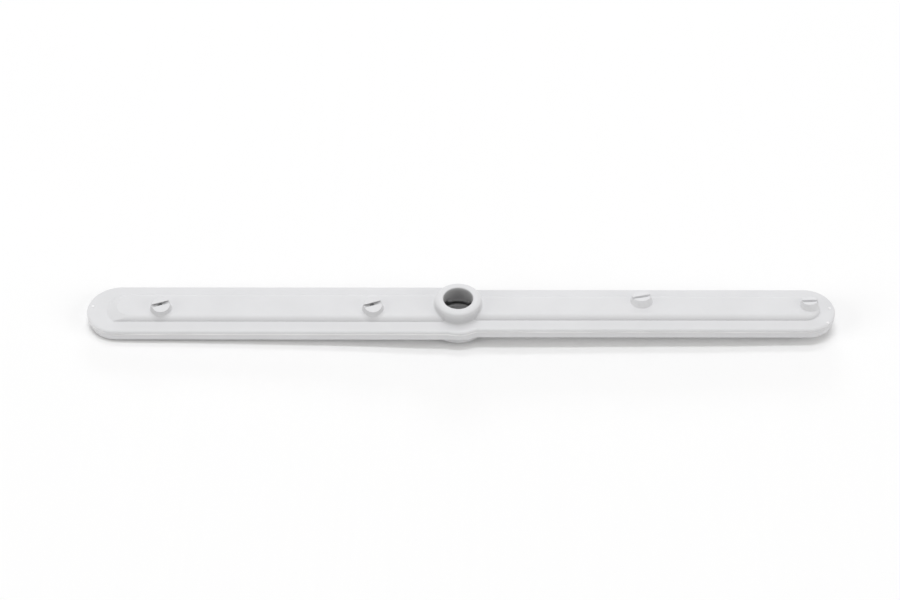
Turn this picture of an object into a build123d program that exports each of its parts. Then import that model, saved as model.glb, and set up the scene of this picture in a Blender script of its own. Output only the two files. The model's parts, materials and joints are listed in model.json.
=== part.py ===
from build123d import *
import math
import os

# Spray arm of a dishwasher: two moulded shells welded along a flange, in millimetres.
# The origin is on the hub axis at the underside of the hub cup. +X runs along the slim half,
# +Z points up through the hub, and the wide half lies along -X.

# Outline seen from above
wide_reach = 228.0
wide_width = 39.0
slim_reach = 231.6
slim_width = 34.9
hub_bulge = 1.0
hub_blend = 6.0

# Heights, from the bottom up
cup_height = 3.5
tray_height = 6.2
flange_height = 2.5
channel_height = 3.4
collar_height = 9.4

# Walls of the two shells, and the lip that stands out at the top of the lower one
wall = 1.9
lip_overhang = 1.0
lip_height = 1.6

# Raised water channel: a sloping nose ends it on the wide half, a round end on the slim half
wide_channel = 21.8
slim_channel = 19.2
shoulder_radius = 3.4
wide_tip_ledge = 12.4
nose_length = 6.2
slim_tip_ledge = 9.6

# Hub
collar_radius = 14.5
collar_lean = 17.0
bore_radius = 9.1
sleeve_wall = 2.0
sleeve_end_gap = 0.4
window_rib = 0.6
window_corner = 2.5
cup_radius = 18.0
seat_radius = 8.4
seat_wall = 1.5
seat_rise = 7.4

# Welded tongue and groove, with a bevel on each shell where the weld shows
tongue_width = 0.9
tongue_height = 0.8
tongue_clearance = 0.1
weld_bevel = 0.4

# Jet bosses
boss_radius = 6.75
tip_boss_radius = 5.8
boss_draft = 18.0
boss_height = 3.65
boss_top_tilt = 12.0
slot_width = 2.0
slot_depth = 2.4
slot_sweep = 10.0
slot_lean = 22.0
orifice_diameter = 2.5
orifice_wall = 1.2
core_radius = 2.7

# Places of the jets: distance from a tip or from the hub axis, offset across the arm,
# turn of the slot, and how far the tilt of the top swings away from square to the slot
wide_outer_jet_from_tip = 46.2
wide_inner_jet_from_hub = 52.2
wide_jet_offset = 2.8
wide_jet_turn = 20.0
slim_inner_jet_from_hub = 112.7
slim_inner_jet_offset = 3.9
slim_inner_jet_turn = 13.0
slim_tip_jet_from_tip = 16.2
slim_tip_jet_offset = 0.3
slim_tip_jet_turn = -7.0
slim_tip_jet_swing = 35.0

# Rounded and bevelled edges
flange_edge = 1.2
tray_edge = 0.7
cup_edge = 0.8
collar_edge = 3.0
bore_edge = 0.4
collar_foot = 1.8

# Levels and sizes that follow
tray_bottom = cup_height
floor_top = tray_bottom + wall
rim_wall = lip_overhang + wall
seam = tray_bottom + tray_height
ledge_top = seam + flange_height
channel_top = ledge_top + channel_height
collar_top = ledge_top + collar_height
roof_under = channel_top - wall
hub_radius = max(wide_width, slim_width) / 2 + hub_bulge
nose_angle = math.atan2(channel_height, nose_length)
nose_start = wide_channel / 2 - shoulder_radius * (1 - math.sin(nose_angle))
nose_drop = channel_height - shoulder_radius * (1 - math.cos(nose_angle))
nose_radius = nose_start + nose_drop / math.tan(nose_angle)
collar_slope = math.tan(math.radians(collar_lean))
collar_corner = collar_radius + collar_edge * (collar_slope + math.hypot(collar_slope, 1) - 1)
collar_at_seam = collar_corner - (collar_top - seam) * collar_slope
overlap = 1.0
touch = 0.001

WIDE = -1
SLIM = 1
FRONT = 0.0
BACK = 180.0


def half_outline(side, reach, half_width):
    """Half of the arm from above: a straight run from the hub axis to a round tip."""
    run = reach - half_width
    bar = Pos(side * run / 2, 0) * Rectangle(run, 2 * half_width)
    return bar + Pos(side * run, 0) * Circle(half_width)


def arm_outline(inset):
    """The whole arm from above: both halves and the hub disc, blended, inset all round."""
    disc_radius = hub_radius - inset
    outline = half_outline(WIDE, wide_reach - inset, wide_width / 2 - inset)
    outline += half_outline(SLIM, slim_reach - inset, slim_width / 2 - inset)
    outline += Circle(disc_radius)
    corners = [v for v in outline.vertices() if abs(math.hypot(v.X, v.Y) - disc_radius) < touch]
    return fillet(corners, hub_blend + inset)


def tray_outline(inset):
    """Outline of the tray: like the arm's, but its sides run straight past the hub."""
    half_width = max(wide_width, slim_width) / 2 - inset
    return arm_outline(inset) & Rectangle(2 * (wide_reach + slim_reach), 2 * half_width)


def slab(face, bottom, top):
    """An upright slab over a plan face."""
    return extrude(Pos(0, 0, bottom) * face, top - bottom)


def post(radius, bottom, top):
    """An upright round on the hub axis."""
    return Pos(0, 0, bottom) * Cylinder(radius, top - bottom, align=(Align.CENTER, Align.CENTER, Align.MIN))


def ring_slab(outer_inset, inner_inset, bottom, top):
    """A band that follows the arm's outline."""
    return slab(arm_outline(outer_inset) - arm_outline(inner_inset), bottom, top)


def top_edges(solid):
    return solid.faces().sort_by(Axis.Z)[-1].edges()


def wide_channel_body(inset, foot):
    """Wide half of the channel; its nose is part of a cone that runs out along the shoulders."""
    half_width = wide_channel / 2 - inset
    roof = channel_top - inset
    axis_x = wide_tip_ledge + nose_radius - wide_reach
    bar = Pos(-wide_reach / 2, 0) * Rectangle(wide_reach, 2 * half_width)
    body = slab(bar, seam, roof)
    body = fillet(top_edges(body).filter_by(Axis.X), shoulder_radius - inset)
    sink = inset / math.cos(nose_angle)
    radii = [nose_radius + (ledge_top - z - sink) / math.tan(nose_angle) for z in (foot, roof)]
    nose = Pos(axis_x, 0, foot) * Cone(*radii, roof - foot, align=(Align.CENTER, Align.CENTER, Align.MIN))
    nose += Pos(axis_x, 0) * post(radii[0], seam, foot)
    run = Pos(axis_x / 2, 0) * Rectangle(-axis_x, wide_width)
    return body & (nose + slab(run, seam, roof))


def slim_channel_body(inset):
    """Slim half of the channel, with a round end."""
    half_width = slim_channel / 2 - inset
    reach = slim_reach - slim_tip_ledge - inset
    body = slab(half_outline(SLIM, reach, half_width), seam, channel_top - inset)
    rim = [e for e in top_edges(body) if e.center().X > overlap]
    return fillet(rim, shoulder_radius - inset)


def jet_places():
    """Each jet: along the arm, across it, boss radius, turn of the slot, swing of the top's tilt."""
    return (
        (wide_outer_jet_from_tip - wide_reach, -wide_jet_offset, boss_radius, FRONT + wide_jet_turn, 0.0),
        (-wide_inner_jet_from_hub, -wide_jet_offset, boss_radius, FRONT + wide_jet_turn, 0.0),
        (slim_inner_jet_from_hub, slim_inner_jet_offset, boss_radius, BACK + slim_inner_jet_turn, 0.0),
        (
            slim_reach - slim_tip_jet_from_tip,
            slim_tip_jet_offset,
            tip_boss_radius,
            BACK + slim_tip_jet_turn,
            slim_tip_jet_swing,
        ),
    )


def leaned(along, across, turn, angle):
    """Frame at the middle of a boss's top, turned about the upright and then leaned over."""
    upright = Location((along, across, channel_top + boss_height), (0, 0, turn))
    return upright * Location((0, 0, 0), (angle, 0, 0))


def collar_foot_edges(body):
    """Edges where the leaning wall of the collar runs out on the ledge and the channel."""
    feet = []
    for edge in body.edges():
        middle = edge @ 0.5
        wall_reach = collar_corner - (collar_top - middle.Z) * collar_slope
        on_wall = abs(math.hypot(middle.X, middle.Y) - wall_reach) < touch
        low = ledge_top - touch < middle.Z < channel_top + touch
        if on_wall and low and edge.geom_type != GeomType.LINE:
            feet.append(edge)
    return feet


def jet_boss(along, across, radius, turn, swing):
    """Round boss with drafted sides and a top that tilts towards the way the jet leans."""
    rise = boss_height + overlap + radius * math.sin(math.radians(boss_top_tilt))
    spread = math.tan(math.radians(boss_draft))
    cone = Cone(
        radius + channel_height * spread,
        radius - rise * spread,
        channel_height + rise,
        align=(Align.CENTER, Align.CENTER, Align.MIN),
    )
    top = Plane(leaned(along, across, turn + swing, boss_top_tilt))
    return split(Pos(along, across, ledge_top) * cone, bisect_by=top, keep=Keep.BOTTOM)


def jet_cut(along, across, radius, turn, swing):
    """Leaning slot with a round floor, and the orifice at its lowest point that leads down into a core."""
    frame = leaned(along, across, turn, slot_lean) * Pos(0, 0, -slot_depth)
    slot = Pos(0, 0, slot_sweep) * (Plane.XZ * Cylinder(slot_sweep, slot_width))
    orifice = Cylinder(orifice_diameter / 2, 2 * orifice_wall)
    centre = (frame * Pos(0, 0, -orifice_wall)).position
    core = Cylinder(core_radius, centre.Z - seam, align=(Align.CENTER, Align.CENTER, Align.MAX))
    return frame * (slot + orifice) + Pos(*centre) * core


def water_window(side, width):
    """Opening in the hub sleeve that lets water into one half of the channel."""
    half_width = width / 2 - wall - window_rib
    section = Plane.YZ * Pos(0, (seam + roof_under) / 2) * Rectangle(2 * half_width, roof_under - seam)
    block = extrude(section, side * collar_radius)
    upper = [e for e in block.edges().filter_by(Axis.X) if e.center().Z > (seam + roof_under) / 2]
    return fillet(upper, window_corner)


def make_upper_shell():
    flange = slab(arm_outline(0), seam, ledge_top)
    flange = fillet(top_edges(flange), flange_edge)
    flange = chamfer(flange.faces().sort_by(Axis.Z)[0].edges(), weld_bevel)
    collar = Cone(
        collar_at_seam,
        collar_corner,
        collar_top - seam,
        align=(Align.CENTER, Align.CENTER, Align.MIN),
    )
    collar = fillet(top_edges(Pos(0, 0, seam) * collar), collar_edge)
    body = flange + wide_channel_body(0, ledge_top - overlap) + slim_channel_body(0) + collar
    body = fillet(collar_foot_edges(body), collar_foot)
    for place in jet_places():
        body += jet_boss(*place)
    hollow = wide_channel_body(wall, seam + overlap) + slim_channel_body(wall)
    hollow += slab(arm_outline(rim_wall), seam, ledge_top - wall)
    sleeve = post(bore_radius + sleeve_wall, seam + sleeve_end_gap, roof_under)
    sleeve -= water_window(WIDE, wide_channel) + water_window(SLIM, slim_channel)
    body -= hollow - sleeve
    for place in jet_places():
        body -= jet_cut(*place)
    body -= post(bore_radius, seam - overlap, collar_top + overlap)
    mouth = [e for e in body.edges().filter_by(GeomType.CIRCLE) if math.isclose(e.arc_center.Z, collar_top)]
    body = chamfer([e for e in mouth if math.isclose(e.radius, bore_radius)], bore_edge)
    groove_inset = (rim_wall - tongue_width) / 2
    body -= ring_slab(
        groove_inset - tongue_clearance,
        groove_inset + tongue_width + tongue_clearance,
        seam - overlap,
        seam + tongue_height + tongue_clearance,
    )
    return body


def make_lower_shell():
    tray = slab(tray_outline(lip_overhang), tray_bottom, seam)
    tray = chamfer(tray.faces().sort_by(Axis.Z)[0].edges(), tray_edge)
    lip = slab(arm_outline(0), seam - lip_height, seam)
    tray += chamfer(top_edges(lip), weld_bevel)
    tray -= slab(tray_outline(rim_wall), floor_top, seam + overlap)
    tongue_inset = (rim_wall - tongue_width) / 2
    tray += ring_slab(tongue_inset, tongue_inset + tongue_width, seam - overlap, seam + tongue_height)
    cup = post(cup_radius, 0, floor_top)
    tray += chamfer(cup.faces().sort_by(Axis.Z)[0].edges(), cup_edge)
    tray -= post(cup_radius - wall, wall, seam)
    tray += post(seat_radius + seat_wall, 0, seat_rise)
    tray -= post(seat_radius, -overlap, seam)
    return tray


os.makedirs("parts", exist_ok=True)
export_step(make_upper_shell(), "parts/upper_shell.step")
export_step(make_lower_shell(), "parts/lower_shell.step")
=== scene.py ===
import json
import math
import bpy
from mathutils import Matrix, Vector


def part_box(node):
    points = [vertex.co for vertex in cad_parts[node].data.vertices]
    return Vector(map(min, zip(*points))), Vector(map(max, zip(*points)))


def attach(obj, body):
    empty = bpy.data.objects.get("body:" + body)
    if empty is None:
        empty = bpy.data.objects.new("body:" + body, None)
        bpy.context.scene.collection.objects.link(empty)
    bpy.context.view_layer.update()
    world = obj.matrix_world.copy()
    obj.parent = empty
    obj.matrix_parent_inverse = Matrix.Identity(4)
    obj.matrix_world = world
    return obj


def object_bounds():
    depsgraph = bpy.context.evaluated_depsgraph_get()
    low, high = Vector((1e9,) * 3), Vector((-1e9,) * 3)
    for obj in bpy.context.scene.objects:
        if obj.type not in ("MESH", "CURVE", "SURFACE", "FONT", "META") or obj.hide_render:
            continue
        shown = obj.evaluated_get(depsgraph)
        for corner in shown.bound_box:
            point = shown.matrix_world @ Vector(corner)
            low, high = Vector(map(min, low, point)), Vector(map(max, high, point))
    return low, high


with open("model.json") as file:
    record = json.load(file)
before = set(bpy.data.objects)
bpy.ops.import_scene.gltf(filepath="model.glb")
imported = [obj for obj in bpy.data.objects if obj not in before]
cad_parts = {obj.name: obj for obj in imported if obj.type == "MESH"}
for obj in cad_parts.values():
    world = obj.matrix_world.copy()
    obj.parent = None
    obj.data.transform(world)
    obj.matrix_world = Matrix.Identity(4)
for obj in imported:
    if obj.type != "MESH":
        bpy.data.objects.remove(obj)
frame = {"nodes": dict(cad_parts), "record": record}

from types import SimpleNamespace

import bpy
from mathutils import Euler, Vector, noise

MM = 0.001

# Camera: the photograph's view, a long lens from the front that looks half way down
CAMERA_ELEVATION = math.radians(45.0)
CAMERA_ROLL = math.radians(0.045)
LENS = 75.0
SENSOR = 36.0
IMAGE_WIDTH = 900
ARM_LENGTH = 0.460
ARM_IN_IMAGE = 748.7
METRES_PER_PIXEL = ARM_LENGTH / ARM_IN_IMAGE
HUB_IN_IMAGE = (8.1, -9.0)

# Light: an even room, long lamps overhead and behind, and one at each front corner
ROOM = 0.515
COOL = (1.0, 1.01, 1.03)
WARM = (1.0, 0.993, 0.98)
LAMP_DISTANCE = 6.0
LAMPS = (
    # name, lean from upright, turn from straight behind, share of light, length, depth, colour
    ("lamp_high", 1.5, 0.0, 0.260, 3.0, 0.6, COOL),
    ("lamp_low", 23.0, 0.0, 0.110, 3.0, 0.8, COOL),
    ("lamp_back", 72.0, 0.0, 0.035, 3.0, 1.0, COOL),
    ("lamp_left", 66.0, 111.0, 0.076, 3.0, 3.0, WARM),
    ("lamp_right", 66.0, -111.0, 0.071, 3.0, 3.0, WARM),
)

# Sheet under the part: its height along the arm, so that the wide tip nearly touches it
FLOOR_REACH = 4.0
FLOOR_PROFILE = (
    (-228 * MM, 3.4 * MM),
    (-205 * MM, 2.7 * MM),
    (-160 * MM, 2.1 * MM),
    (-72 * MM, 0.1 * MM),
    (-18 * MM, -2.1 * MM),
    (26 * MM, -3.3 * MM),
    (90 * MM, -2.8 * MM),
    (160 * MM, -2.3 * MM),
    (232 * MM, -1.0 * MM),
)
FLOOR_COLOUR = (0.96, 0.96, 0.96)
FIBRE_SCALE = 60.0
FIBRE_DETAIL = 3.0
FIBRE_TONES = (0.995, 1.005)

# Levels of the part: ledge and channel lie below the collar's rim, the cup's top above its base
LEDGE_BELOW_TOP = 9.4 * MM
CHANNEL_BELOW_TOP = 6.0 * MM
CUP_HEIGHT = 3.5 * MM

# Plastic: colours, and roughness as moulded and as melted in the weld
PLASTIC = (0.705, 0.706, 0.717)
# Painted shade: the darker colours inside the bores of the upper and the lower shell
BORE_SHADE = (0.50, 0.50, 0.505)
SEAT_SHADE = (0.52, 0.52, 0.525)
# Weld bead and pips: melted plastic, lightened to paint the highlights along the seam and on the
# pips
WELD_AND_HIGHLIGHT = (0.86, 0.86, 0.865)
MOULDED_ROUGH = 0.5
MELTED_ROUGH = 0.35

# Faint clouds in the colour
CLOUD_SCALE = 45.0
CLOUD_DETAIL = 4.0
CLOUD_ROUGHNESS = 0.6
CLOUD_START = 0.3
CLOUD_END = 0.7
CLOUD_TONES = (0.98, 1.02)

# Fine grain in the gloss and the surface
GRAIN_SCALE = 1800.0
GRAIN_DETAIL = 3.0
GRAIN_ROUGHNESS = 0.55
GRAIN_GLOSS = 0.08
GRAIN_STRENGTH = 0.12
GRAIN_HEIGHT = 0.02 * MM

# Soft edges: their radius on the channel and the tray, on the rim, and on the hub's cup
SOFT_EDGE = 0.7 * MM
SOFT_RIM = 1.3 * MM
SOFT_CUP = 2.4 * MM

# Painted shade: tones that multiply the colour, and the height over which one passes into the next
# Painted shade on the fronts of raised parts and in front of the wide half's jets
FRONT_SHADE_TONE = 0.84
# Painted shade on the hub's cup, under the tray
CUP_SHADE_TONE = 0.78
# Painted shade in slots and corners
RECESS_SHADE_TONE = 0.3
BLEND = 0.5 * MM

# Where the bore gets its painted shade: a margin round it, and two depths below the collar's rim
BORE_MARGIN = 0.3 * MM
MOUTH_START = 0.2 * MM
MOUTH_END = 3.0 * MM

# Where shade is painted on raised plastic: distances from the hub's axis, ends of the halves, ways
# it faces
COLLAR_FOOT_OUTER = 14.8 * MM
COLLAR_FOOT_INNER = 14.0 * MM
WIDE_HALF_END = 20.0 * MM
SLIM_HALF_START = 30.0 * MM
FACING_UP = 0.85
FACING_SIDEWAYS = 0.55
FACING_BACK = 0.1
FACING_FRONT = -0.4

# Jets of the wide half, along and across the arm: shadow is painted on the channel at the front of
# their feet
WIDE_JETS = ((-181.8 * MM, -2.8 * MM), (-52.2 * MM, -2.8 * MM))
JET_FOOT = 7.3 * MM
JET_FOOT_FADE = 2.0 * MM
JET_FRONT_START = 0.4 * JET_FOOT
JET_FRONT_END = 0.8 * JET_FOOT

# Painted shade in slots and corners: how far walls count as near, how open a spot may be, and how
# much the slim half gets
RECESS_REACH = 3.0 * MM
RECESS_OPEN = 0.45
SLIM_RECESS = 0.35
SHADER_SAMPLES = 8

# Weld bead along the seam: it fills the bevels of the two shells unevenly
BEAD_STEP = 1.2 * MM
BEAD_SIDES = 8
BEAD_RADIUS = 0.38 * MM
BEAD_RADIUS_SLIM = 0.28 * MM
BEAD_UNEVEN = 0.22 * MM
BEAD_PATCH = 20.0 * MM
BEAD_FADE = 60.0 * MM
BEAD_DEPTH = 0.20 * MM
BEAD_WANDER = 0.12 * MM
WANDER_SCALE = 3
WANDER_SHIFT = Vector((0, 0, 5))
WELD_BEVEL = 0.4 * MM
CORNER_DIGITS = 6

# Small pips on the ledge near the tips: along and across the arm
PIPS = ((-224.6 * MM, 2.2 * MM), (228.3 * MM, 0.9 * MM), (225.6 * MM, -11.6 * MM))
PIP_RADIUS = 0.95 * MM
PIP_HEIGHT = 0.35 * MM
PIP_RINGS = 4
PIP_SIDES = 16

TOUCH = 0.01 * MM

cad_low, cad_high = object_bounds()
upper = frame["nodes"]["upper_shell"]
lower = frame["nodes"]["lower_shell"]
top_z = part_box("upper_shell")[1][2]
seam_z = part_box("upper_shell")[0][2]
ledge_z = top_z - LEDGE_BELOW_TOP
channel_z = top_z - CHANNEL_BELOW_TOP
bore = next(m for m in frame["record"]["mounts"] if m["name"] == "hub_bore")
bore_radius = bore["dims"]["r_mm"] * MM
scene = bpy.context.scene


def add(tree, kind, **values):
    """A shader node, with values set on its sockets."""
    made = tree.nodes.new(kind)
    for name, value in values.items():
        made.inputs[name.replace("_", " ")].default_value = value
    return made


def ramp(tree, source, start, end, first=0.0, last=1.0):
    """First to last as a value goes from start to end."""
    made = add(tree, "ShaderNodeMapRange", From_Min=start, From_Max=end, To_Min=first, To_Max=last)
    tree.links.new(source, made.inputs["Value"])
    return made.outputs["Result"]


def combine(tree, kind, *values):
    """Values put together one after another: MULTIPLY, MAXIMUM and so on."""
    result = values[0]
    for value in values[1:]:
        made = tree.nodes.new("ShaderNodeMath")
        made.operation = kind
        tree.links.new(result, made.inputs[0])
        tree.links.new(value, made.inputs[1])
        result = made.outputs["Value"]
    return result


def distance(tree, plan, x, y):
    """How far a point is from the upright line at x and y, seen from above."""
    made = tree.nodes.new("ShaderNodeVectorMath")
    made.operation = "DISTANCE"
    tree.links.new(plan, made.inputs[0])
    made.inputs[1].default_value = (x, y, 0)
    return made.outputs["Value"]


def blend(tree, share, shown, colour, kind="MIX"):
    """What is shown so far, mixed with a plain colour."""
    made = tree.nodes.new("ShaderNodeMixRGB")
    made.blend_type = kind
    tree.links.new(share, made.inputs["Fac"])
    tree.links.new(shown, made.inputs["Color1"])
    made.inputs["Color2"].default_value = (*colour, 1)
    return made.outputs["Color"]


def darken(tree, share, shown, tone):
    """What is shown so far, times a tone."""
    return blend(tree, share, shown, (tone, tone, tone), "MULTIPLY")


def cloudy(tree, source, colour, tones, start=0.0, end=1.0):
    """A colour that passes from one tone to the other as a value goes from start to end."""
    made = tree.nodes.new("ShaderNodeValToRGB")
    for stop, position, tone in zip(made.color_ramp.elements, (start, end), tones):
        stop.position = position
        stop.color = (*[tone * c for c in colour], 1)
    tree.links.new(source, made.inputs["Fac"])
    return made.outputs["Color"]


def speckle(tree, position, scale, detail, roughness):
    """Noise that stays in place on the part."""
    made = add(tree, "ShaderNodeTexNoise", Scale=scale, Detail=detail, Roughness=roughness)
    tree.links.new(position, made.inputs["Vector"])
    return made.outputs["Fac"]


def survey(tree):
    """What the tones go by: where a point of the surface is, and which way it faces."""
    surface = add(tree, "ShaderNodeNewGeometry")
    place = add(tree, "ShaderNodeSeparateXYZ")
    tree.links.new(surface.outputs["Position"], place.inputs["Vector"])
    facing = add(tree, "ShaderNodeSeparateXYZ")
    tree.links.new(surface.outputs["Normal"], facing.inputs["Vector"])
    plan = add(tree, "ShaderNodeCombineXYZ")
    tree.links.new(place.outputs["X"], plan.inputs["X"])
    tree.links.new(place.outputs["Y"], plan.inputs["Y"])
    return SimpleNamespace(
        position=surface.outputs["Position"],
        x=place.outputs["X"],
        y=place.outputs["Y"],
        z=place.outputs["Z"],
        facing_y=facing.outputs["Y"],
        facing_z=facing.outputs["Z"],
        plan=plan.outputs["Vector"],
        from_axis=distance(tree, plan.outputs["Vector"], 0, 0),
    )


def bore_shade_mask(tree, at):
    """1 in the hub's bore, below its mouth, where shade is painted."""
    in_bore = ramp(tree, at.from_axis, bore_radius + BORE_MARGIN, bore_radius)
    below_mouth = ramp(tree, at.z, top_z - MOUTH_START, top_z - MOUTH_END)
    return combine(tree, "MULTIPLY", in_bore, below_mouth)


def raised_front_shade(tree, at):
    """1 on the front of the collar and of the wide half's bosses, where shade is painted."""
    foot = ramp(tree, at.from_axis, COLLAR_FOOT_OUTER, COLLAR_FOOT_INNER, channel_z, ledge_z)
    raised = ramp(tree, combine(tree, "SUBTRACT", at.z, foot), -BLEND, BLEND)
    upright = ramp(tree, at.facing_z, FACING_UP, FACING_SIDEWAYS)
    wide_half = ramp(tree, at.x, SLIM_HALF_START, WIDE_HALF_END)
    front = ramp(tree, at.facing_y, FACING_BACK, FACING_FRONT)
    return combine(tree, "MULTIPLY", raised, upright, wide_half, front)


def jet_foot_shadows(tree, at):
    """For each jet of the wide half, 1 on the channel at the front of its foot, where its shadow is
    painted.
    """
    low = ramp(tree, at.z, channel_z + BLEND, channel_z)
    feet = []
    for x, y in WIDE_JETS:
        near = ramp(tree, distance(tree, at.plan, x, y), JET_FOOT + JET_FOOT_FADE, JET_FOOT)
        ahead = ramp(tree, at.y, y - JET_FRONT_START, y - JET_FRONT_END)
        feet.append(combine(tree, "MULTIPLY", near, ahead, low))
    return feet


def recess_shade(tree, at):
    """1 deep in the slots, and less in the slim half's, where shade is painted."""
    around = add(tree, "ShaderNodeAmbientOcclusion", Distance=RECESS_REACH)
    around.samples = SHADER_SAMPLES
    closed = ramp(tree, around.outputs["AO"], RECESS_OPEN, 0.0)
    strength = ramp(tree, at.x, WIDE_HALF_END, SLIM_HALF_START, 1.0, SLIM_RECESS)
    return combine(tree, "MULTIPLY", closed, strength)


def soft_normal(tree, at, height, under, over):
    """Edges as if rounded, by one radius under a height and by another over it."""
    edge = add(tree, "ShaderNodeBevel")
    edge.samples = SHADER_SAMPLES
    radius = ramp(tree, at.z, height, height + BLEND, under, over)
    tree.links.new(radius, edge.inputs["Radius"])
    return edge.outputs["Normal"]


def plastic(name, colour, inside, rough, soft_edges=None):
    """Satin plastic with clouds and grain, and painted shade on the fronts, in the bore, on the cup
    and in the slots.
    """
    material = bpy.data.materials.new(name)
    material.use_nodes = True
    tree = material.node_tree
    link = tree.links.new
    shader = tree.nodes["Principled BSDF"]
    at = survey(tree)

    clouds = speckle(tree, at.position, CLOUD_SCALE, CLOUD_DETAIL, CLOUD_ROUGHNESS)
    shown = cloudy(tree, clouds, colour, CLOUD_TONES, CLOUD_START, CLOUD_END)
    # Painted shade in the hub's bore, below its mouth
    shown = blend(tree, bore_shade_mask(tree, at), shown, inside)
    # Painted shade on the fronts of the collar and bosses, and painted shadow in front of the wide
    # half's jets
    front_shade = combine(tree, "MAXIMUM", raised_front_shade(tree, at), *jet_foot_shadows(tree, at))
    shown = darken(tree, front_shade, shown, FRONT_SHADE_TONE)
    # Painted shade on the hub's cup
    cup_shade = ramp(tree, at.z, CUP_HEIGHT, CUP_HEIGHT - BLEND)
    shown = darken(tree, cup_shade, shown, CUP_SHADE_TONE)
    # Painted shade deep in the slots and corners, from ambient occlusion
    shown = darken(tree, recess_shade(tree, at), shown, RECESS_SHADE_TONE)
    link(shown, shader.inputs["Base Color"])

    grain = speckle(tree, at.position, GRAIN_SCALE, GRAIN_DETAIL, GRAIN_ROUGHNESS)
    gloss = ramp(tree, grain, 0.0, 1.0, rough - GRAIN_GLOSS, rough + GRAIN_GLOSS)
    link(gloss, shader.inputs["Roughness"])
    bump = add(tree, "ShaderNodeBump", Strength=GRAIN_STRENGTH, Distance=GRAIN_HEIGHT)
    link(grain, bump.inputs["Height"])
    if soft_edges:
        link(soft_normal(tree, at, *soft_edges), bump.inputs["Normal"])
    link(bump.outputs["Normal"], shader.inputs["Normal"])
    return material


def dress(piece, material):
    """The piece in one material."""
    piece.data.materials.clear()
    piece.data.materials.append(material)


def piece_from(name, points, faces, material):
    """A smooth mesh piece."""
    mesh = bpy.data.meshes.new(name)
    mesh.from_pydata(points, [], faces)
    for face in mesh.polygons:
        face.use_smooth = True
    made = bpy.data.objects.new(name, mesh)
    scene.collection.objects.link(made)
    dress(made, material)
    return made


def rim_loop():
    """Outline of the rim just under the weld, in even steps round the hub's axis."""
    level = seam_z - WELD_BEVEL
    corners = set()
    for vertex in lower.data.vertices:
        if abs(vertex.co.z - level) < TOUCH:
            corners.add((round(vertex.co.x, CORNER_DIGITS), round(vertex.co.y, CORNER_DIGITS)))
    corners = [Vector(c) for c in sorted(corners, key=lambda c: math.atan2(c[1], c[0]))]
    loop = []
    for start, end in zip(corners, corners[1:] + corners[:1]):
        steps = max(1, round((end - start).length / BEAD_STEP))
        loop += [start.lerp(end, i / steps) for i in range(steps)]
    return loop


def weld_bead(material):
    """Uneven bead of melted plastic in the groove between the shells, kept inside the CAD box."""
    loop = rim_loop()
    points = []
    for i, here in enumerate(loop):
        along = (loop[(i + 1) % len(loop)] - loop[i - 1]).normalized()
        out = Vector((along.y, -along.x))
        patch = Vector((here.x, here.y, 0)) / BEAD_PATCH
        from_tip = min(here.x - cad_low[0], cad_high[0] - here.x)
        radius = BEAD_RADIUS if here.x < 0 else BEAD_RADIUS_SLIM
        radius += BEAD_UNEVEN * noise.noise(patch)
        radius *= min(1, (from_tip + BEAD_FADE) / (2 * BEAD_FADE))
        lift = BEAD_WANDER * noise.noise(patch * WANDER_SCALE + WANDER_SHIFT)
        for j in range(BEAD_SIDES):
            turn = 2 * math.pi * j / BEAD_SIDES
            flat = here + out * (radius * math.cos(turn) - BEAD_DEPTH)
            x = min(max(flat.x, cad_low[0] + TOUCH), cad_high[0] - TOUCH)
            y = min(max(flat.y, cad_low[1] + TOUCH), cad_high[1] - TOUCH)
            points.append((x, y, seam_z + lift + radius * math.sin(turn)))
    faces = []
    for i in range(len(loop)):
        ring = i * BEAD_SIDES
        after = (i + 1) % len(loop) * BEAD_SIDES
        for j in range(BEAD_SIDES):
            k = (j + 1) % BEAD_SIDES
            faces.append((ring + j, after + j, after + k, ring + k))
    bead = piece_from("weld_bead", points, faces, material)
    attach(bead, "root")


def pip(name, x, y, material):
    """One low round pip on the ledge; its lighter colour paints a small highlight."""
    points = [(x, y, ledge_z + PIP_HEIGHT)]
    for i in range(1, PIP_RINGS + 1):
        turn = 0.5 * math.pi * i / PIP_RINGS
        reach = PIP_RADIUS * math.sin(turn)
        height = ledge_z - TOUCH + PIP_HEIGHT * math.cos(turn)
        for j in range(PIP_SIDES):
            angle = 2 * math.pi * j / PIP_SIDES
            points.append((x + reach * math.cos(angle), y + reach * math.sin(angle), height))
    faces = [(0, 1 + j, 1 + (j + 1) % PIP_SIDES) for j in range(PIP_SIDES)]
    for i in range(PIP_RINGS - 1):
        ring = 1 + i * PIP_SIDES
        after = ring + PIP_SIDES
        for j in range(PIP_SIDES):
            k = (j + 1) % PIP_SIDES
            faces.append((ring + j, after + j, after + k, ring + k))
    last = 1 + (PIP_RINGS - 1) * PIP_SIDES
    faces.append(tuple(last + j for j in reversed(range(PIP_SIDES))))
    made = piece_from(name, points, faces, material)
    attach(made, "root")


def floor():
    """White sheet that the part lies on; past the ends of its profile it goes on level."""
    material = bpy.data.materials.new("white_sheet")
    material.use_nodes = True
    tree = material.node_tree
    shader = tree.nodes["Principled BSDF"]
    fibres = add(tree, "ShaderNodeTexNoise", Scale=FIBRE_SCALE, Detail=FIBRE_DETAIL)
    shown = cloudy(tree, fibres.outputs["Fac"], FLOOR_COLOUR, FIBRE_TONES)
    tree.links.new(shown, shader.inputs["Base Color"])
    shader.inputs["Roughness"].default_value = 1.0
    shader.inputs["Specular IOR Level"].default_value = 0.0

    start = (-FLOOR_REACH, FLOOR_PROFILE[0][1])
    end = (FLOOR_REACH, FLOOR_PROFILE[-1][1])
    profile = (start, *FLOOR_PROFILE, end)
    points = []
    for x, height in profile:
        points += [(x, -FLOOR_REACH, height), (x, FLOOR_REACH, height)]
    faces = [(2 * i, 2 * i + 2, 2 * i + 3, 2 * i + 1) for i in range(len(profile) - 1)]
    piece_from("floor", points, faces, material)


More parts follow.
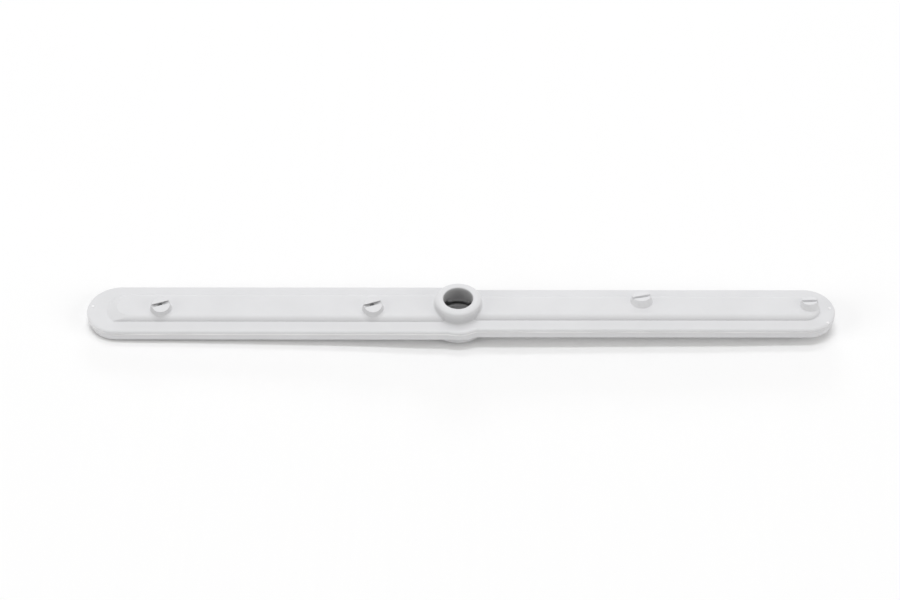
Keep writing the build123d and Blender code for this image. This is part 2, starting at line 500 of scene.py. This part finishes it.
def room():
    """Even light from all round; seen straight, or mirrored, it is plain white."""
    world = bpy.data.worlds.new("room")
    scene.world = world
    world.use_nodes = True
    tree = world.node_tree
    link = tree.links.new
    soft = tree.nodes["Background"]
    soft.inputs["Color"].default_value = (*WARM, 1)
    soft.inputs["Strength"].default_value = ROOM
    white = add(tree, "ShaderNodeBackground", Color=(1, 1, 1, 1), Strength=1.0)
    path = add(tree, "ShaderNodeLightPath")
    seen = combine(tree, "MAXIMUM", path.outputs["Is Camera Ray"], path.outputs["Is Glossy Ray"])
    mix = tree.nodes.new("ShaderNodeMixShader")
    link(seen, mix.inputs[0])
    link(soft.outputs[0], mix.inputs[1])
    link(white.outputs[0], mix.inputs[2])
    link(mix.outputs[0], tree.nodes["World Output"].inputs["Surface"])


def lamps():
    """Lamps that face the hub, each with the share of light that it gives a level surface."""
    for name, lean, turn, share, length, depth, colour in LAMPS:
        light = bpy.data.lights.new(name, "AREA")
        light.shape = "RECTANGLE"
        light.color = colour
        light.size = length
        light.size_y = depth
        # A white sheet that faces a lamp shows its energy / (pi * distance) ** 2
        light.energy = share * (math.pi * LAMP_DISTANCE) ** 2 / math.cos(math.radians(lean))
        lamp = bpy.data.objects.new(name, light)
        scene.collection.objects.link(lamp)
        lamp.rotation_euler = (-math.radians(lean), 0, math.radians(turn))
        lamp.location = lamp.rotation_euler.to_matrix() @ Vector((0, 0, LAMP_DISTANCE))


def camera():
    """The photograph's view."""
    aim = Vector((0, 0, ledge_z))
    focal_pixels = IMAGE_WIDTH * LENS / SENSOR
    away = Vector((0, -math.cos(CAMERA_ELEVATION), math.sin(CAMERA_ELEVATION)))
    seen = bpy.data.objects.new("camera", bpy.data.cameras.new("camera"))
    scene.collection.objects.link(seen)
    seen.location = aim + away * focal_pixels * METRES_PER_PIXEL
    upright = Euler((math.pi / 2 - CAMERA_ELEVATION, 0, 0)).to_matrix()
    seen.rotation_euler = (upright @ Euler((0, 0, CAMERA_ROLL)).to_matrix()).to_euler()
    seen.data.lens = LENS
    seen.data.sensor_width = SENSOR
    seen.data.shift_x = -HUB_IN_IMAGE[0] / IMAGE_WIDTH
    seen.data.shift_y = -HUB_IN_IMAGE[1] / IMAGE_WIDTH
    scene.camera = seen


upper_edges = (ledge_z, SOFT_RIM, SOFT_EDGE)
lower_edges = (CUP_HEIGHT - BLEND, SOFT_CUP, SOFT_EDGE)
dress(upper, plastic("upper_plastic", PLASTIC, BORE_SHADE, MOULDED_ROUGH, upper_edges))
dress(lower, plastic("lower_plastic", PLASTIC, SEAT_SHADE, MOULDED_ROUGH, lower_edges))
# The weld material is lightened to paint the highlights of the bead and the pips
weld = plastic("weld_plastic", WELD_AND_HIGHLIGHT, WELD_AND_HIGHLIGHT, MELTED_ROUGH)
weld_bead(weld)
for number, (pip_x, pip_y) in enumerate(PIPS, 1):
    pip(f"pip_{number}", pip_x, pip_y, weld)
floor()
room()
lamps()
camera()
scene.view_settings.view_transform = "Standard"
